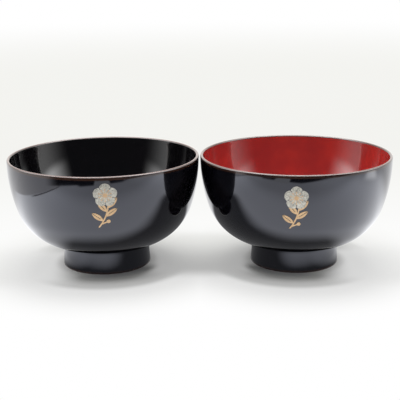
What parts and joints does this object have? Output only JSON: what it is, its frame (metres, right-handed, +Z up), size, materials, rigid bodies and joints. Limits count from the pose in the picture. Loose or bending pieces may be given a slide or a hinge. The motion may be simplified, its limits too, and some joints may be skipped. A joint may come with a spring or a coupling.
{
  "type": "lacquer soup bowls",
  "caption": "Round lacquered soup bowls on foot rings, open at the top, each with a small raised blossom picture on its front.",
  "frame": {"origin": "on the table, midway between the two bowls", "axes": "+X from the bowl that is black inside to the one that is red inside, +Y to the back, away from the pictures, +Z up along the bowls' axes"},
  "size_m": [0.2308, 0.115, 0.067],
  "materials": {
    "turned_wood": "turned, under lacquer",
    "black_lacquer": "high gloss",
    "red_lacquer": "high gloss",
    "rim_lacquer": "high gloss",
    "silver_powder": "silver powder in lacquer",
    "gold_powder": "gold powder in lacquer"
  },
  "bodies": {
    "black_bowl": {"black_bowl_core": "turned_wood", "black_bowl_outer_lacquer": "black_lacquer", "black_bowl_inner_lacquer": "black_lacquer", "black_bowl_foot_lacquer": "black_lacquer", "black_bowl_rim_line": "rim_lacquer", "black_bowl_silver_blossom": "silver_powder", "black_bowl_gold_spray": "gold_powder"},
    "red_bowl": {"red_bowl_core": "turned_wood", "red_bowl_outer_lacquer": "black_lacquer", "red_bowl_inner_lacquer": "red_lacquer", "red_bowl_foot_lacquer": "black_lacquer", "red_bowl_rim_line": "rim_lacquer", "red_bowl_silver_blossom": "silver_powder", "red_bowl_gold_spray": "gold_powder"}
  },
  "joints": [
    {"name": "lift_red_bowl", "type": "slide", "parent": "black_bowl", "child": "red_bowl", "axis": [0, 0, 1], "range_m": [0, 0.1]}
  ]
}
